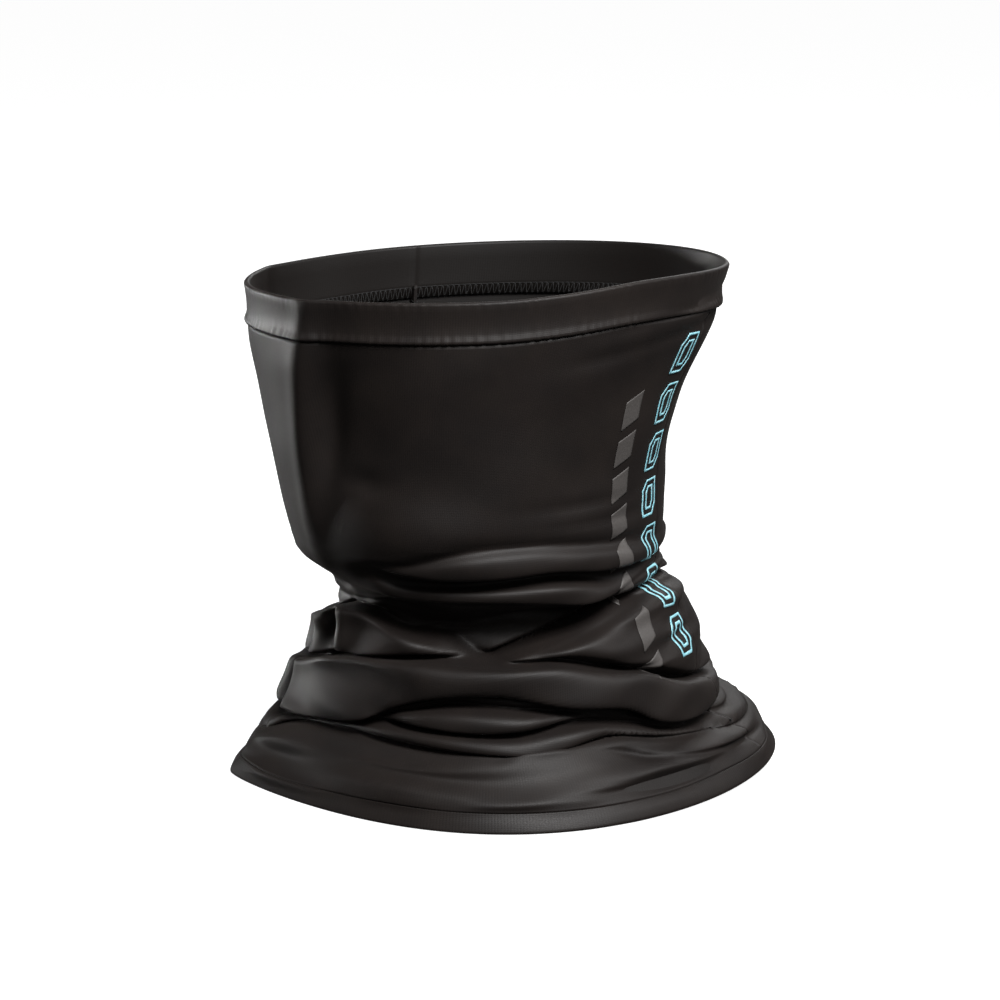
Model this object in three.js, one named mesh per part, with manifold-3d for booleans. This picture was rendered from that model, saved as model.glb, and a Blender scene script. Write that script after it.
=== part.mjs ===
// Neck gaiter: a thin knitted tube worn over the nose, the chin and the neck, flaring onto the shoulders.
//
// Frame, in millimetres: +Z up, the origin at the centre of the bottom rim, on the plane it stands on.
// -Y is the wearer's front, +X the wearer's left, and angles run from the front towards the left.
//
// Every piece is a solid on one shared cloth surface. A place on it is an angle, a height, an arc distance
// along the cloth from that angle, and a depth measured outwards from the cloth's outer face.
import * as THREE from "three";
import { mergeVertices } from "three/addons/utils/BufferGeometryUtils.js";
import Module from "manifold-3d";

const wasm = await Module();
wasm.setup();

// ---- driving dimensions, mm and degrees ----

// Worn shape: the reach to the front, to the back and to each side at each height.
const rim = { height: 218, front: 112, back: 97, side: 74 };
const nose = { height: 200, front: 111, back: 93, side: 73 };
const cheek = { height: 162, front: 105, back: 76, side: 68 };
const jaw = { height: 130, front: 99, back: 70, side: 65 };
const chin = { height: 103, front: 93, back: 71, side: 64 };
const throat = { height: 91, front: 85, back: 75, side: 64 };
const neck = { height: 77, front: 78, back: 78, side: 66 };
const collar = { height: 62, front: 82, back: 82, side: 72 };
const upperRoll = { height: 46, front: 91, back: 90, side: 81 };
const lowerRoll = { height: 30, front: 98, back: 100, side: 89 };
const flare = { height: 15, front: 107, back: 112, side: 97 };
const base = { height: 0, front: 121, back: 121, side: 103 };
const rimTilt = 0.022; // rise of the top rim towards the back, per mm

const cloth = 0.8; // one layer of brushed microfibre
const thread = 0.4; // overlock thread laid over an edge
const gap = 0.3; // between pieces that touch

const topBandHeight = 17.5;
const bottomBandHeight = 12;
const bandRidge = 0.9; // how far a band's sewn edge stands proud
const bandRoll = 0.4; // how far its folded edge stands proud
const bandAllowance = 6; // sewn edge turned in behind the panels

const sideSeamAngle = -80;
const backSeamAngle = 152;
const seamAllowance = 5;

const film = 0.2; // heat-transfer print
// Two columns of figures up the cloth: where each stands and how much of its pitch a figure fills.
const outline = { count: 7, angle: 143, low: 52, high: 194, width: 12, stroke: 1.1, share: 0.8 };
const block = { count: 8, angle: 126, low: 48, high: 174, width: 9, slant: 4, share: 0.72 };

const frontColumns = 30;
const rearColumns = 18;
const panelRows = 15;

// ---- the worn cloth surface ----

const stations = [base, flare, lowerRoll, upperRoll, collar, neck, throat, chin, jaw, cheek, nose, rim];

// One size of the stations at a height, on a curve through them that never overshoots (Fritsch-Carlson).
function reach(key, height) {
  const last = stations.length - 2;
  let i = stations.findIndex((s, k) => k > 0 && height <= s.height) - 1;
  if (i < 0) i = height < base.height ? 0 : last;
  const rise = (k) => stations[k + 1].height - stations[k].height;
  const slope = (k) => (stations[k + 1][key] - stations[k][key]) / rise(k);
  const tangent = (k) => {
    if (k === 0) return slope(0);
    if (k > last) return slope(last);
    const [before, after] = [slope(k - 1), slope(k)];
    return before * after <= 0 ? 0 : (2 * before * after) / (before + after);
  };
  const span = rise(i);
  const t = (height - stations[i].height) / span;
  if (t < 0) return stations[0][key] + t * span * slope(0);
  const [a, b] = [stations[i][key], stations[i + 1][key]];
  return (
    a * (1 + 2 * t) * (1 - t) ** 2 +
    b * t * t * (3 - 2 * t) +
    span * t * (1 - t) * (tangent(i) * (1 - t) - tangent(i + 1) * t)
  );
}

// The point at an angle, a height, an arc distance along the cloth and a depth outwards.
function onCloth({ angle, height, arc = 0, depth = 0 }) {
  const side = reach("side", height);
  const length = (reach("front", height) + reach("back", height)) / 2;
  const middle = (reach("back", height) - reach("front", height)) / 2;
  const start = THREE.MathUtils.degToRad(angle);
  const turn = start + arc / Math.hypot(side * Math.cos(start), length * Math.sin(start));
  const [sin, cos] = [Math.sin(turn), Math.cos(turn)];
  const outward = new THREE.Vector2(sin / side, -cos / length).normalize();
  const x = side * sin + depth * outward.x;
  const y = middle - length * cos + depth * outward.y;
  return new THREE.Vector3(x, y, height + (rimTilt * y * height) / rim.height);
}

// ---- closed solids on that surface ----

const blend = (a, b, t) => a + (b - a) * t;

// A geometry from points and triangles, turned so that its faces point outwards.
function solid(points, triangles) {
  const volume = triangles.reduce(
    (sum, [a, b, c]) => sum + points[a].dot(new THREE.Vector3().crossVectors(points[b], points[c])),
    0,
  );
  const faces = volume < 0 ? triangles.map(([a, b, c]) => [a, c, b]) : triangles;
  const geometry = new THREE.BufferGeometry().setFromPoints(points);
  geometry.setIndex(faces.flat());
  return geometry;
}

// A section of places carried through a list of steps: closed round when it loops, capped at its ends if not.
function sweep(section, steps, place, loops = false) {
  const points = steps.flatMap((step) => section.map((corner) => place(step, corner)));
  const size = section.length;
  const at = (i, j) => (i % steps.length) * size + (j % size);
  const triangles = [];
  for (let i = 0; i < steps.length - (loops ? 0 : 1); i++)
    for (let j = 0; j < size; j++)
      triangles.push([at(i, j), at(i + 1, j), at(i + 1, j + 1)], [at(i, j), at(i + 1, j + 1), at(i, j + 1)]);
  if (!loops) {
    const flat = section.map(([a, b]) => new THREE.Vector2(a, b));
    const end = (steps.length - 1) * size;
    for (const cap of THREE.ShapeUtils.triangulateShape(flat, [])) {
      const [a, b, c] = THREE.ShapeUtils.area(flat) > 0 ? cap : cap.toReversed();
      triangles.push([a, b, c], [end + a, end + c, end + b]);
    }
  }
  return solid(points, triangles);
}

// A curved slab: columns of places across, rows up, from one depth to another.
function slab(columns, rows, inner, outer, place = onCloth) {
  const section = [
    ...columns.map((column) => ({ ...column, depth: outer })),
    ...columns.toReversed().map((column) => ({ ...column, depth: inner })),
  ];
  const size = section.length;
  const points = rows.flatMap((row) => section.map((corner) => place({ ...corner, ...row(corner) })));
  const triangles = [];
  for (let i = 0; i < rows.length - 1; i++)
    for (let j = 0; j < size; j++) {
      const [a, b] = [i * size + j, i * size + ((j + 1) % size)];
      triangles.push([a, b, b + size], [a, b + size, a + size]);
    }
  const end = (rows.length - 1) * size;
  for (let j = 0; j < columns.length - 1; j++) {
    const [a, b, c, d] = [j, j + 1, size - 2 - j, size - 1 - j];
    triangles.push([a, c, b], [a, d, c], [end + a, end + b, end + c], [end + a, end + c, end + d]);
  }
  return solid(points, triangles);
}

function toManifold(geometry) {
  const bare = new THREE.BufferGeometry().setAttribute("position", geometry.getAttribute("position"));
  bare.setIndex(geometry.index);
  const merged = mergeVertices(bare, 1e-4);
  return new wasm.Manifold(
    new wasm.Mesh({
      numProp: 3,
      vertProperties: merged.getAttribute("position").array,
      triVerts: new Uint32Array(merged.index.array),
    }),
  );
}

function union(geometries) {
  const joined = geometries.map(toManifold).reduce((a, b) => a.add(b));
  const mesh = joined.getMesh();
  const geometry = new THREE.BufferGeometry();
  geometry.setAttribute("position", new THREE.BufferAttribute(mesh.vertProperties, 3));
  geometry.setIndex(new THREE.BufferAttribute(mesh.triVerts, 1));
  return geometry;
}

// ---- angles and heights shared by neighbouring pieces ----

function anglesBetween(from, to, count) {
  return Array.from({ length: count + 1 }, (_, i) => blend(from, to, i / count));
}

const frontAngles = anglesBetween(sideSeamAngle, backSeamAngle, frontColumns);
const rearAngles = anglesBetween(backSeamAngle, sideSeamAngle + 360, rearColumns);
const ringAngles = [...frontAngles.slice(0, -1), ...rearAngles.slice(0, -1)];

const topSeam = rim.height - topBandHeight;
const bottomSeam = base.height + bottomBandHeight;
const allowanceReach = bandAllowance + gap + thread; // how far a band's sewn edge and its thread reach
const seamLow = bottomSeam + allowanceReach + gap;
const seamHigh = topSeam - allowanceReach - gap;

// ---- panels and the seams between them ----

// Heights shared by the panels and their seams: evenly spaced rows along the seams, with given ends.
function seamRows(low, high) {
  const shares = Array.from({ length: panelRows - 1 }, (_, i) => (i + 1) / panelRows);
  return [...low, ...shares.map((share) => blend(seamLow, seamHigh, share)), ...high];
}

const wallRows = seamRows([bottomSeam + gap, seamLow], [seamHigh, topSeam - gap]);

// The same place as onCloth gives, on the straight facets that a panel has between its rows.
function onPanel(place) {
  const above = wallRows.findIndex((height) => height >= place.height);
  const [low, high] = [wallRows[above - 1], wallRows[above]];
  const [from, to] = [low, high].map((height) => onCloth({ ...place, height }));
  return from.lerp(to, (place.height - low) / (high - low));
}

// A panel from one seam to the next, with each side edge turned in as a seam allowance.
function panel(angles) {
  const columns = angles.map((angle, i) => ({
    angle,
    arc: i === 0 ? gap / 2 : i === angles.length - 1 ? -gap / 2 : 0,
  }));
  const wall = slab(columns, wallRows.map((height) => () => ({ height })), -cloth, 0);
  const flange = (angle, side) =>
    slab(
      [gap / 2, gap / 2 + cloth].map((arc) => ({ angle, arc: side * arc })).sort((a, b) => a.arc - b.arc),
      seamRows([seamLow], [seamHigh]).map((height) => () => ({ height })),
      -cloth - seamAllowance,
      -cloth / 2,
    );
  return union([wall, flange(angles[0], 1), flange(angles.at(-1), -1)]);
}

// Overlock thread folded over the two turned-in edges of a seam, as a channel seen in section.
function seamThread(angle) {
  const inside = gap / 2 + cloth + gap;
  const outside = inside + thread;
  const mouth = -cloth - seamAllowance / 2;
  const edge = -cloth - seamAllowance - gap;
  const section = [
    [-outside, mouth],
    [-outside, edge - thread],
    [outside, edge - thread],
    [outside, mouth],
    [inside, mouth],
    [inside, edge],
    [-inside, edge],
    [-inside, mouth],
  ];
  const rows = seamRows([seamLow + gap], [seamHigh - gap]);
  return sweep(section, rows, (height, [arc, depth]) => onCloth({ angle, height, arc, depth }));
}

// ---- bands and the threads round their sewn edges ----

const bandInner = -cloth - gap - thread - gap; // outer face of the allowance behind the panel

// A ring with its section in depth and height.
const ring = (section) =>
  sweep(section, ringAngles, (angle, [depth, height]) => onCloth({ angle, height, depth }), true);

// A strip folded double: its fold at the opening, its sewn edges at the panels, one leg behind them.
// The roll is how far the fold stands proud.
function band(seam, opening, roll) {
  const inwards = Math.sign(seam - opening);
  const height = (share) => blend(seam, opening, share);
  return ring([
    [bandRidge, seam],
    [bandRidge, height(0.1)],
    [0, height(0.2)],
    [0, height(0.8)],
    [roll, height(0.9)],
    [roll, opening],
    [bandInner - cloth, opening],
    [bandInner - cloth, seam],
    [bandInner - cloth, seam + inwards * bandAllowance],
    [bandInner, seam + inwards * bandAllowance],
    [bandInner, seam],
    [bandInner, opening + inwards * cloth],
    [-cloth, opening + inwards * cloth],
    [-cloth, seam],
  ]);
}

// Overlock thread folded over a band's allowance, with its open side towards the band.
function bandThread(seam, opening) {
  const inwards = Math.sign(seam - opening);
  const [outerFace, innerFace] = [-cloth - gap, bandInner - cloth - gap - thread];
  const mouth = seam + inwards * gap;
  const edge = seam + inwards * (bandAllowance + gap);
  return ring([
    [outerFace, mouth],
    [outerFace, edge + inwards * thread],
    [innerFace, edge + inwards * thread],
    [innerFace, mouth],
    [innerFace + thread, mouth],
    [innerFace + thread, edge],
    [outerFace - thread, edge],
    [outerFace - thread, mouth],
  ]);
}

// ---- print ----

const filmDepths = { inner: gap, outer: gap + film };

// A six-sided outline, taller than it is wide, as one closed stroke of film.
function outlineFigure(index) {
  const pitch = (outline.high - outline.low) / outline.count;
  const middle = outline.low + (index + 0.5) * pitch;
  const [halfWidth, halfHeight] = [outline.width / 2, (pitch * outline.share) / 2];
  const corners = [
    [-halfWidth, -halfHeight],
    [halfWidth * 0.4, -halfHeight],
    [halfWidth, -halfHeight * 0.45],
    [halfWidth, halfHeight],
    [-halfWidth * 0.4, halfHeight],
    [-halfWidth, halfHeight * 0.45],
  ];
  const stops = 4; // per side, so that the film follows the round of the cloth
  const path = corners.flatMap(([x, y], i) => {
    const [nextX, nextY] = corners[(i + 1) % corners.length];
    return Array.from({ length: stops }, (_, k) => [blend(x, nextX, k / stops), blend(y, nextY, k / stops)]);
  });
  const shrink = (amount, half) => 1 - amount / half;
  const corner = ([x, y], share, depth) =>
    onPanel({
      angle: outline.angle,
      arc: x * (share ? shrink(outline.stroke, halfWidth) : 1),
      height: middle + y * (share ? shrink(outline.stroke, halfHeight) : 1),
      depth,
    });
  const section = [
    [0, filmDepths.inner],
    [0, filmDepths.outer],
    [1, filmDepths.outer],
    [1, filmDepths.inner],
  ];
  return sweep(section, path, (point, [share, depth]) => corner(point, share, depth), true);
}

// A slanted solid bar.
function blockFigure(index) {
  const pitch = (block.high - block.low) / block.count;
  const low = block.low + index * pitch;
  const steps = [0, 0.25, 0.5, 0.75, 1];
  const columns = steps.map((across) => ({ angle: block.angle, arc: (across - 0.5) * block.width }));
  const rows = steps.map((up) => ({ arc }) => ({
    height: low + up * pitch * block.share + (arc / block.width) * block.slant,
  }));
  return slab(columns, rows, filmDepths.inner, filmDepths.outer, onPanel);
}

// ---- finishes ----

const finish = (color, roughness) => new THREE.MeshStandardMaterial({ color, roughness, metalness: 0 });
const blackKnit = finish(0x24211f, 0.62);
const blackBand = finish(0x2a2725, 0.58);
const blackThread = finish(0x1a1817, 0.7);
const cyanFilm = finish(0x7fcfe0, 0.45);
const greyFilm = finish(0x555251, 0.5);

// ---- the assembly ----

const gaiter = new THREE.Group();

function add(name, geometry, material) {
  geometry.computeVertexNormals();
  const mesh = new THREE.Mesh(geometry, material);
  mesh.name = name;
  gaiter.add(mesh);
}

add("front_panel", panel(frontAngles), blackKnit);
add("rear_panel", panel(rearAngles), blackKnit);
add("side_seam_thread", seamThread(sideSeamAngle), blackThread);
add("back_seam_thread", seamThread(backSeamAngle), blackThread);
add("top_band", band(topSeam, rim.height, bandRoll), blackBand);
add("top_overlock", bandThread(topSeam, rim.height), blackThread);
add("bottom_band", band(bottomSeam, base.height, 0), blackBand);
add("bottom_overlock", bandThread(bottomSeam, base.height), blackThread);
for (let i = 0; i < outline.count; i++) add(`print_outline_${i + 1}`, outlineFigure(i), cyanFilm);
for (let i = 0; i < block.count; i++) add(`print_block_${i + 1}`, blockFigure(i), greyFilm);

export default gaiter;
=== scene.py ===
"""A black knitted neck gaiter as it is worn: taut over the face, bunched at the neck, flared below.

Every cloth piece lies on one draped surface, DrapedCloth. A place on that surface is an angle from the
wearer's front towards the left, in degrees, and a height, in millimetres, that the cloth would have without
its folds. Lengths are in millimetres until a mesh is made, and meshes are in metres.
"""

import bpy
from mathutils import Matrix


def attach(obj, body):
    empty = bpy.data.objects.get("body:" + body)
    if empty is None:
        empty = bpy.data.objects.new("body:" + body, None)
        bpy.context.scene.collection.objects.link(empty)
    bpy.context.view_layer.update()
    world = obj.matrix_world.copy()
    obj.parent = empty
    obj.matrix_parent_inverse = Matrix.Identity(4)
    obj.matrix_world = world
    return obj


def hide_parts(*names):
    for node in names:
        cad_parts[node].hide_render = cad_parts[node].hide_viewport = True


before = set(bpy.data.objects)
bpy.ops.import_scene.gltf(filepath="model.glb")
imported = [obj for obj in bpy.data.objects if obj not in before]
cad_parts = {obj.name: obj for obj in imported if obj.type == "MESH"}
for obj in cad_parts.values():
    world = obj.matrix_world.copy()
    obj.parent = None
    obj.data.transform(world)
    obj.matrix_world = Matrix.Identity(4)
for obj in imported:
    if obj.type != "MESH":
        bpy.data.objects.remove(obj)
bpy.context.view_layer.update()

import logging
import math
import time
from dataclasses import dataclass, field
from enum import Enum

import bpy
import numpy as np
from mathutils import Euler, Matrix, Vector
from numpy.typing import NDArray

Array = NDArray[np.float64]
Path2 = tuple[tuple[float, float], ...]

LOG = logging.getLogger("neck_gaiter")
METRE = 0.001  # one millimetre, in metres
BODY = "root"


# ---- numbers and curves ----


def smooth_step(value: Array) -> Array:
    """Return 0 below 0, 1 above 1 and a smooth cubic between."""
    t = np.clip(value, 0.0, 1.0)
    return t * t * (3.0 - 2.0 * t)


def half_turn(angles: Array) -> Array:
    """Return angles in degrees brought to between -180 and 180."""
    return (angles + 180.0) % 360.0 - 180.0


def plateau(value: Array, start: float, rise: float, end: float, fall: float) -> Array:
    """Return 1 between start and end and 0 outside: a smooth step up times a smooth step down."""
    return smooth_step((value - start) / rise) * smooth_step((end - value) / fall)


def monotone_curve(x: Array, knots_x: Array, knots_y: Array) -> Array:
    """Return a curve through the knots that never overshoots them.

    The slope at a knot is the harmonic mean of the slopes on its two sides, or zero where they differ in
    sign, and a cubic Hermite curve joins the knots.

    Args:
        x: Where to read the curve.
        knots_x: The knots' places, rising.
        knots_y: The knots' values.

    Returns:
        The curve's values, shaped as x.
    """
    span = np.diff(knots_x)
    slope = np.diff(knots_y) / span
    product = slope[:-1] * slope[1:]
    total = slope[:-1] + slope[1:]
    safe = np.where(product > 0.0, total, 1.0)
    inner = np.where(product > 0.0, 2.0 * product / safe, 0.0)
    tangent = np.concatenate(([slope[0]], inner, [slope[-1]]))
    i = np.clip(np.searchsorted(knots_x, x) - 1, 0, len(span) - 1)
    t = (x - knots_x[i]) / span[i]
    return (
        knots_y[i] * (1.0 + 2.0 * t) * (1.0 - t) ** 2
        + knots_y[i + 1] * t * t * (3.0 - 2.0 * t)
        + span[i] * t * (1.0 - t) * (tangent[i] * (1.0 - t) - tangent[i + 1] * t)
    )


def round_curve(angles: Array, points: Path2, softness: float = 4.0) -> Array:
    """Return a value that goes once round the tube through points, blurred so that it has no corners.

    Args:
        angles: Where to read it, in degrees.
        points: (angle, value) pairs.
        softness: The blur's standard deviation, in degrees.

    Returns:
        The values, shaped as angles.
    """
    ordered = sorted((a % 360.0, v) for a, v in points)
    at = np.array([a for a, _ in ordered])
    values = np.array([v for _, v in ordered])
    ring = np.arange(0.0, 360.0, 1.0)
    steps = np.interp(ring, at, values, period=360.0)
    blur = np.exp(-0.5 * (half_turn(ring) / softness) ** 2)
    blur /= blur.sum()
    soft = np.real(np.fft.ifft(np.fft.fft(steps) * np.fft.fft(blur)))
    return np.interp(angles % 360.0, ring, soft, period=360.0)


def read_grid(rows: Array, grid: Array, angles: Array, heights: Array, past: float) -> Array:
    """Return a grid's values between its points, straight in both directions.

    Each value is the mean of the four points round it, weighted by how near they are across and up.

    Args:
        rows: The rows' heights, rising.
        grid: Numbers or vectors shaped rows, columns, with columns evenly spaced from angle 0.
        angles: Where to read it, in degrees.
        heights: Where to read it, in millimetres.
        past: How far past its first and last row the grid is carried on, as a share of a row.

    Returns:
        The values, shaped as angles, with the grid's own last axis for vectors.
    """
    columns = grid.shape[1]
    across = (angles % 360.0) / 360.0 * columns
    column = np.floor(across).astype(int)
    across = across - column
    row = np.clip(np.searchsorted(rows, heights) - 1, 0, len(rows) - 2)
    up = np.clip((heights - rows[row]) / (rows[row + 1] - rows[row]), -past, 1.0 + past)
    if grid.ndim == 3:
        up, across = up[..., None], across[..., None]
    left, right = column % columns, (column + 1) % columns
    low = grid[row, left] * (1 - across) + grid[row, right] * across
    high = grid[row + 1, left] * (1 - across) + grid[row + 1, right] * across
    return low * (1 - up) + high * up


@dataclass(frozen=True)
class Ripple:
    """Small random waves that close round the tube: a sum of sines with drawn directions and phases.

    Attributes:
        size: Their standard deviation, in millimetres.
        seed: The draw's seed.
        turns: Least and most whole waves round the tube.
        wave: Least and most wavelength up the tube, in millimetres.
        count: How many sines are summed.
    """

    size: float
    seed: int
    turns: tuple[int, int]
    wave: tuple[float, float]
    count: int = 14

    def offset(self, share: Array, angles: Array, heights: Array) -> Array:
        """Return the waves at each place.

        Args:
            share: How much of the waves is there, from 0 to 1.
            angles: Angles in degrees.
            heights: Heights in millimetres.

        Returns:
            How far each place moves, in millimetres.
        """
        draw = np.random.default_rng(self.seed)
        total = np.zeros(np.broadcast(angles, heights).shape)
        for _ in range(self.count):
            whole = int(draw.integers(self.turns[0], self.turns[1] + 1))
            around = whole * (1 if draw.random() < 0.5 else -1)
            up = 2.0 * math.pi / draw.uniform(*self.wave)
            phase = draw.uniform(0.0, 2.0 * math.pi)
            total += np.sin(np.radians(angles) * around + heights * up + phase)
        return share * self.size * (total / math.sqrt(self.count / 2.0))


# ---- the draped surface ----


@dataclass(frozen=True)
class Station:
    """The tube's reach from its axis at one height, without its folds."""

    height: float
    front: float
    back: float
    side: float
    pinch: float = 0.0


@dataclass(frozen=True)
class Fold:
    """A band of cloth between two edges that runs round the tube, pushed out, and spread up and down.

    The push is a plateau: the product of a smooth step at the lower edge and one at the upper edge. A
    negative push makes a groove. The plateau is stretched so that its top rises and its bottom drops, which
    makes lips that stand in front of the cloth above and hang over the cloth below. The edges are where the
    lips come to.

    Attributes:
        upper: (angle, height) points of the upper edge.
        lower: (angle, height) points of the lower edge.
        strength: (angle, share) points of how much of the fold is there.
        push: How far it stands out.
        rise: How far its top is lifted.
        drop: How far its bottom hangs down.
        tuck: How far the cloth just outside its edges is drawn in.
        upper_edge: How softly it begins at its upper edge.
        lower_edge: How softly it ends at its lower edge.
    """

    upper: Path2
    lower: Path2
    strength: Path2
    push: float
    rise: float = 0.0
    drop: float = 0.0
    tuck: float = 0.0
    upper_edge: float = 3.0
    lower_edge: float = 2.0

    def offsets(self, angles: Array, heights: Array) -> tuple[Array, Array]:
        """Work out the plateau, its tucks and its stretch.

        Args:
            angles: Angles in degrees.
            heights: Heights in millimetres.

        Returns:
            How far each place moves outwards, and how far upwards.
        """
        top = round_curve(angles, self.upper) - self.rise
        bottom = round_curve(angles, self.lower) + self.drop
        above = 0.5 + 0.5 * np.tanh((heights - bottom) / self.lower_edge)
        below = 0.5 + 0.5 * np.tanh((top - heights) / self.upper_edge)
        strength = np.clip(round_curve(angles, self.strength), 0.0, None)
        share = strength * above * below
        place = smooth_step((heights - bottom) / np.maximum(top - bottom, 1.0))
        over = np.exp(-(((heights - top) / self.upper_edge - 1.7) ** 2))
        under = np.exp(-(((bottom - heights) / self.lower_edge - 1.7) ** 2))
        push = self.push * share - self.tuck * strength * (over + under)
        return push, (self.rise * place - self.drop * (1.0 - place)) * share


@dataclass(frozen=True)
class Swell:
    """A round swelling or hollow of the cloth: a bell curve in angle and height.

    It leans by so many degrees a millimetre.
    """

    angle: float
    height: float
    push: float
    wide: float
    tall: float
    lean: float = 0.0

    def offset(self, angles: Array, heights: Array) -> Array:
        """Work out the bell curve.

        Args:
            angles: Angles in degrees.
            heights: Heights in millimetres.

        Returns:
            How far each place moves outwards.
        """
        above = heights - self.height
        turn = half_turn(angles - self.angle - self.lean * above)
        return self.push * np.exp(-0.5 * ((turn / self.wide) ** 2 + (above / self.tall) ** 2))


ALL_ROUND: Path2 = ((0.0, 1.0),)

# Edges shared by folds that lie on each other, as seen on the finished cloth.
COLLAR_TOP: Path2 = (
    (-40, 55), (-17, 50), (0, 53), (12, 57), (30, 61), (54, 64), (74, 63), (95, 62.5), (114, 58),
    (124, 53), (149, 43), (175, 38), (-160, 44), (-130, 56), (-100, 62), (-65, 60),
)
COLLAR_BOTTOM: Path2 = (
    (-40, 30), (-17, 26), (0, 26), (14, 27), (29, 29.5), (40, 32), (48, 40), (56, 44), (66, 46),
    (77, 45.5), (90, 43), (104, 40.5), (115, 36.5), (124, 29), (132, 25.5), (149, 26), (175, 24),
    (-160, 27), (-130, 36), (-100, 42), (-65, 36),
)
TUBE_BOTTOM: Path2 = (
    (0, 26), (14, 27), (29, 29.5), (41, 31), (54, 32), (64, 32.7), (77, 33.7), (92, 35), (104, 35),
    (115, 31), (132, 24), (149, 22), (175, 19), (-150, 24), (-110, 33), (-60, 30),
)
SKIRT_TOP: Path2 = (
    (0, 17), (19, 23), (38, 25.3), (55, 25.6), (72, 25.3), (86, 25), (96, 26), (107, 28), (117, 24.5),
    (129, 20.5), (147, 16), (175, 13), (-160, 15), (-120, 22), (-80, 21), (-40, 14), (-15, 14.5),
)
PLEAT_TOP: Path2 = (
    (60, 60), (70, 61), (76, 63.5), (84, 67), (96, 71.5), (110, 76), (128, 82), (138, 85.5),
    (157, 85.5), (175, 83), (-160, 80), (-90, 72), (0, 64),
)
HOLLOW_TOP: Path2 = (
    (0, 86), (40, 87), (52, 84.5), (63, 84), (79, 85), (98, 83.5), (111, 81), (130, 86), (160, 90),
    (-160, 88), (-110, 84), (-60, 86),
)
UPPER_CREASE: Path2 = (
    (-60, 98), (0, 98), (30, 99), (44, 98.5), (52, 95.5), (68, 94.5), (83, 95.4), (102, 97.3),
    (120, 92.5), (140, 93), (170, 95), (-150, 96), (-100, 97),
)
JAW_CREASE: Path2 = (
    (-60, 106), (0, 104), (40, 101), (59, 105), (78, 111), (94, 111.5), (119, 108.5), (137, 105.5),
    (165, 104), (-150, 107), (-100, 111),
)


def moved(path: Path2, by: float) -> Path2:
    """Return a path moved up."""
    return tuple((angle, height + by) for angle, height in path)


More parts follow.
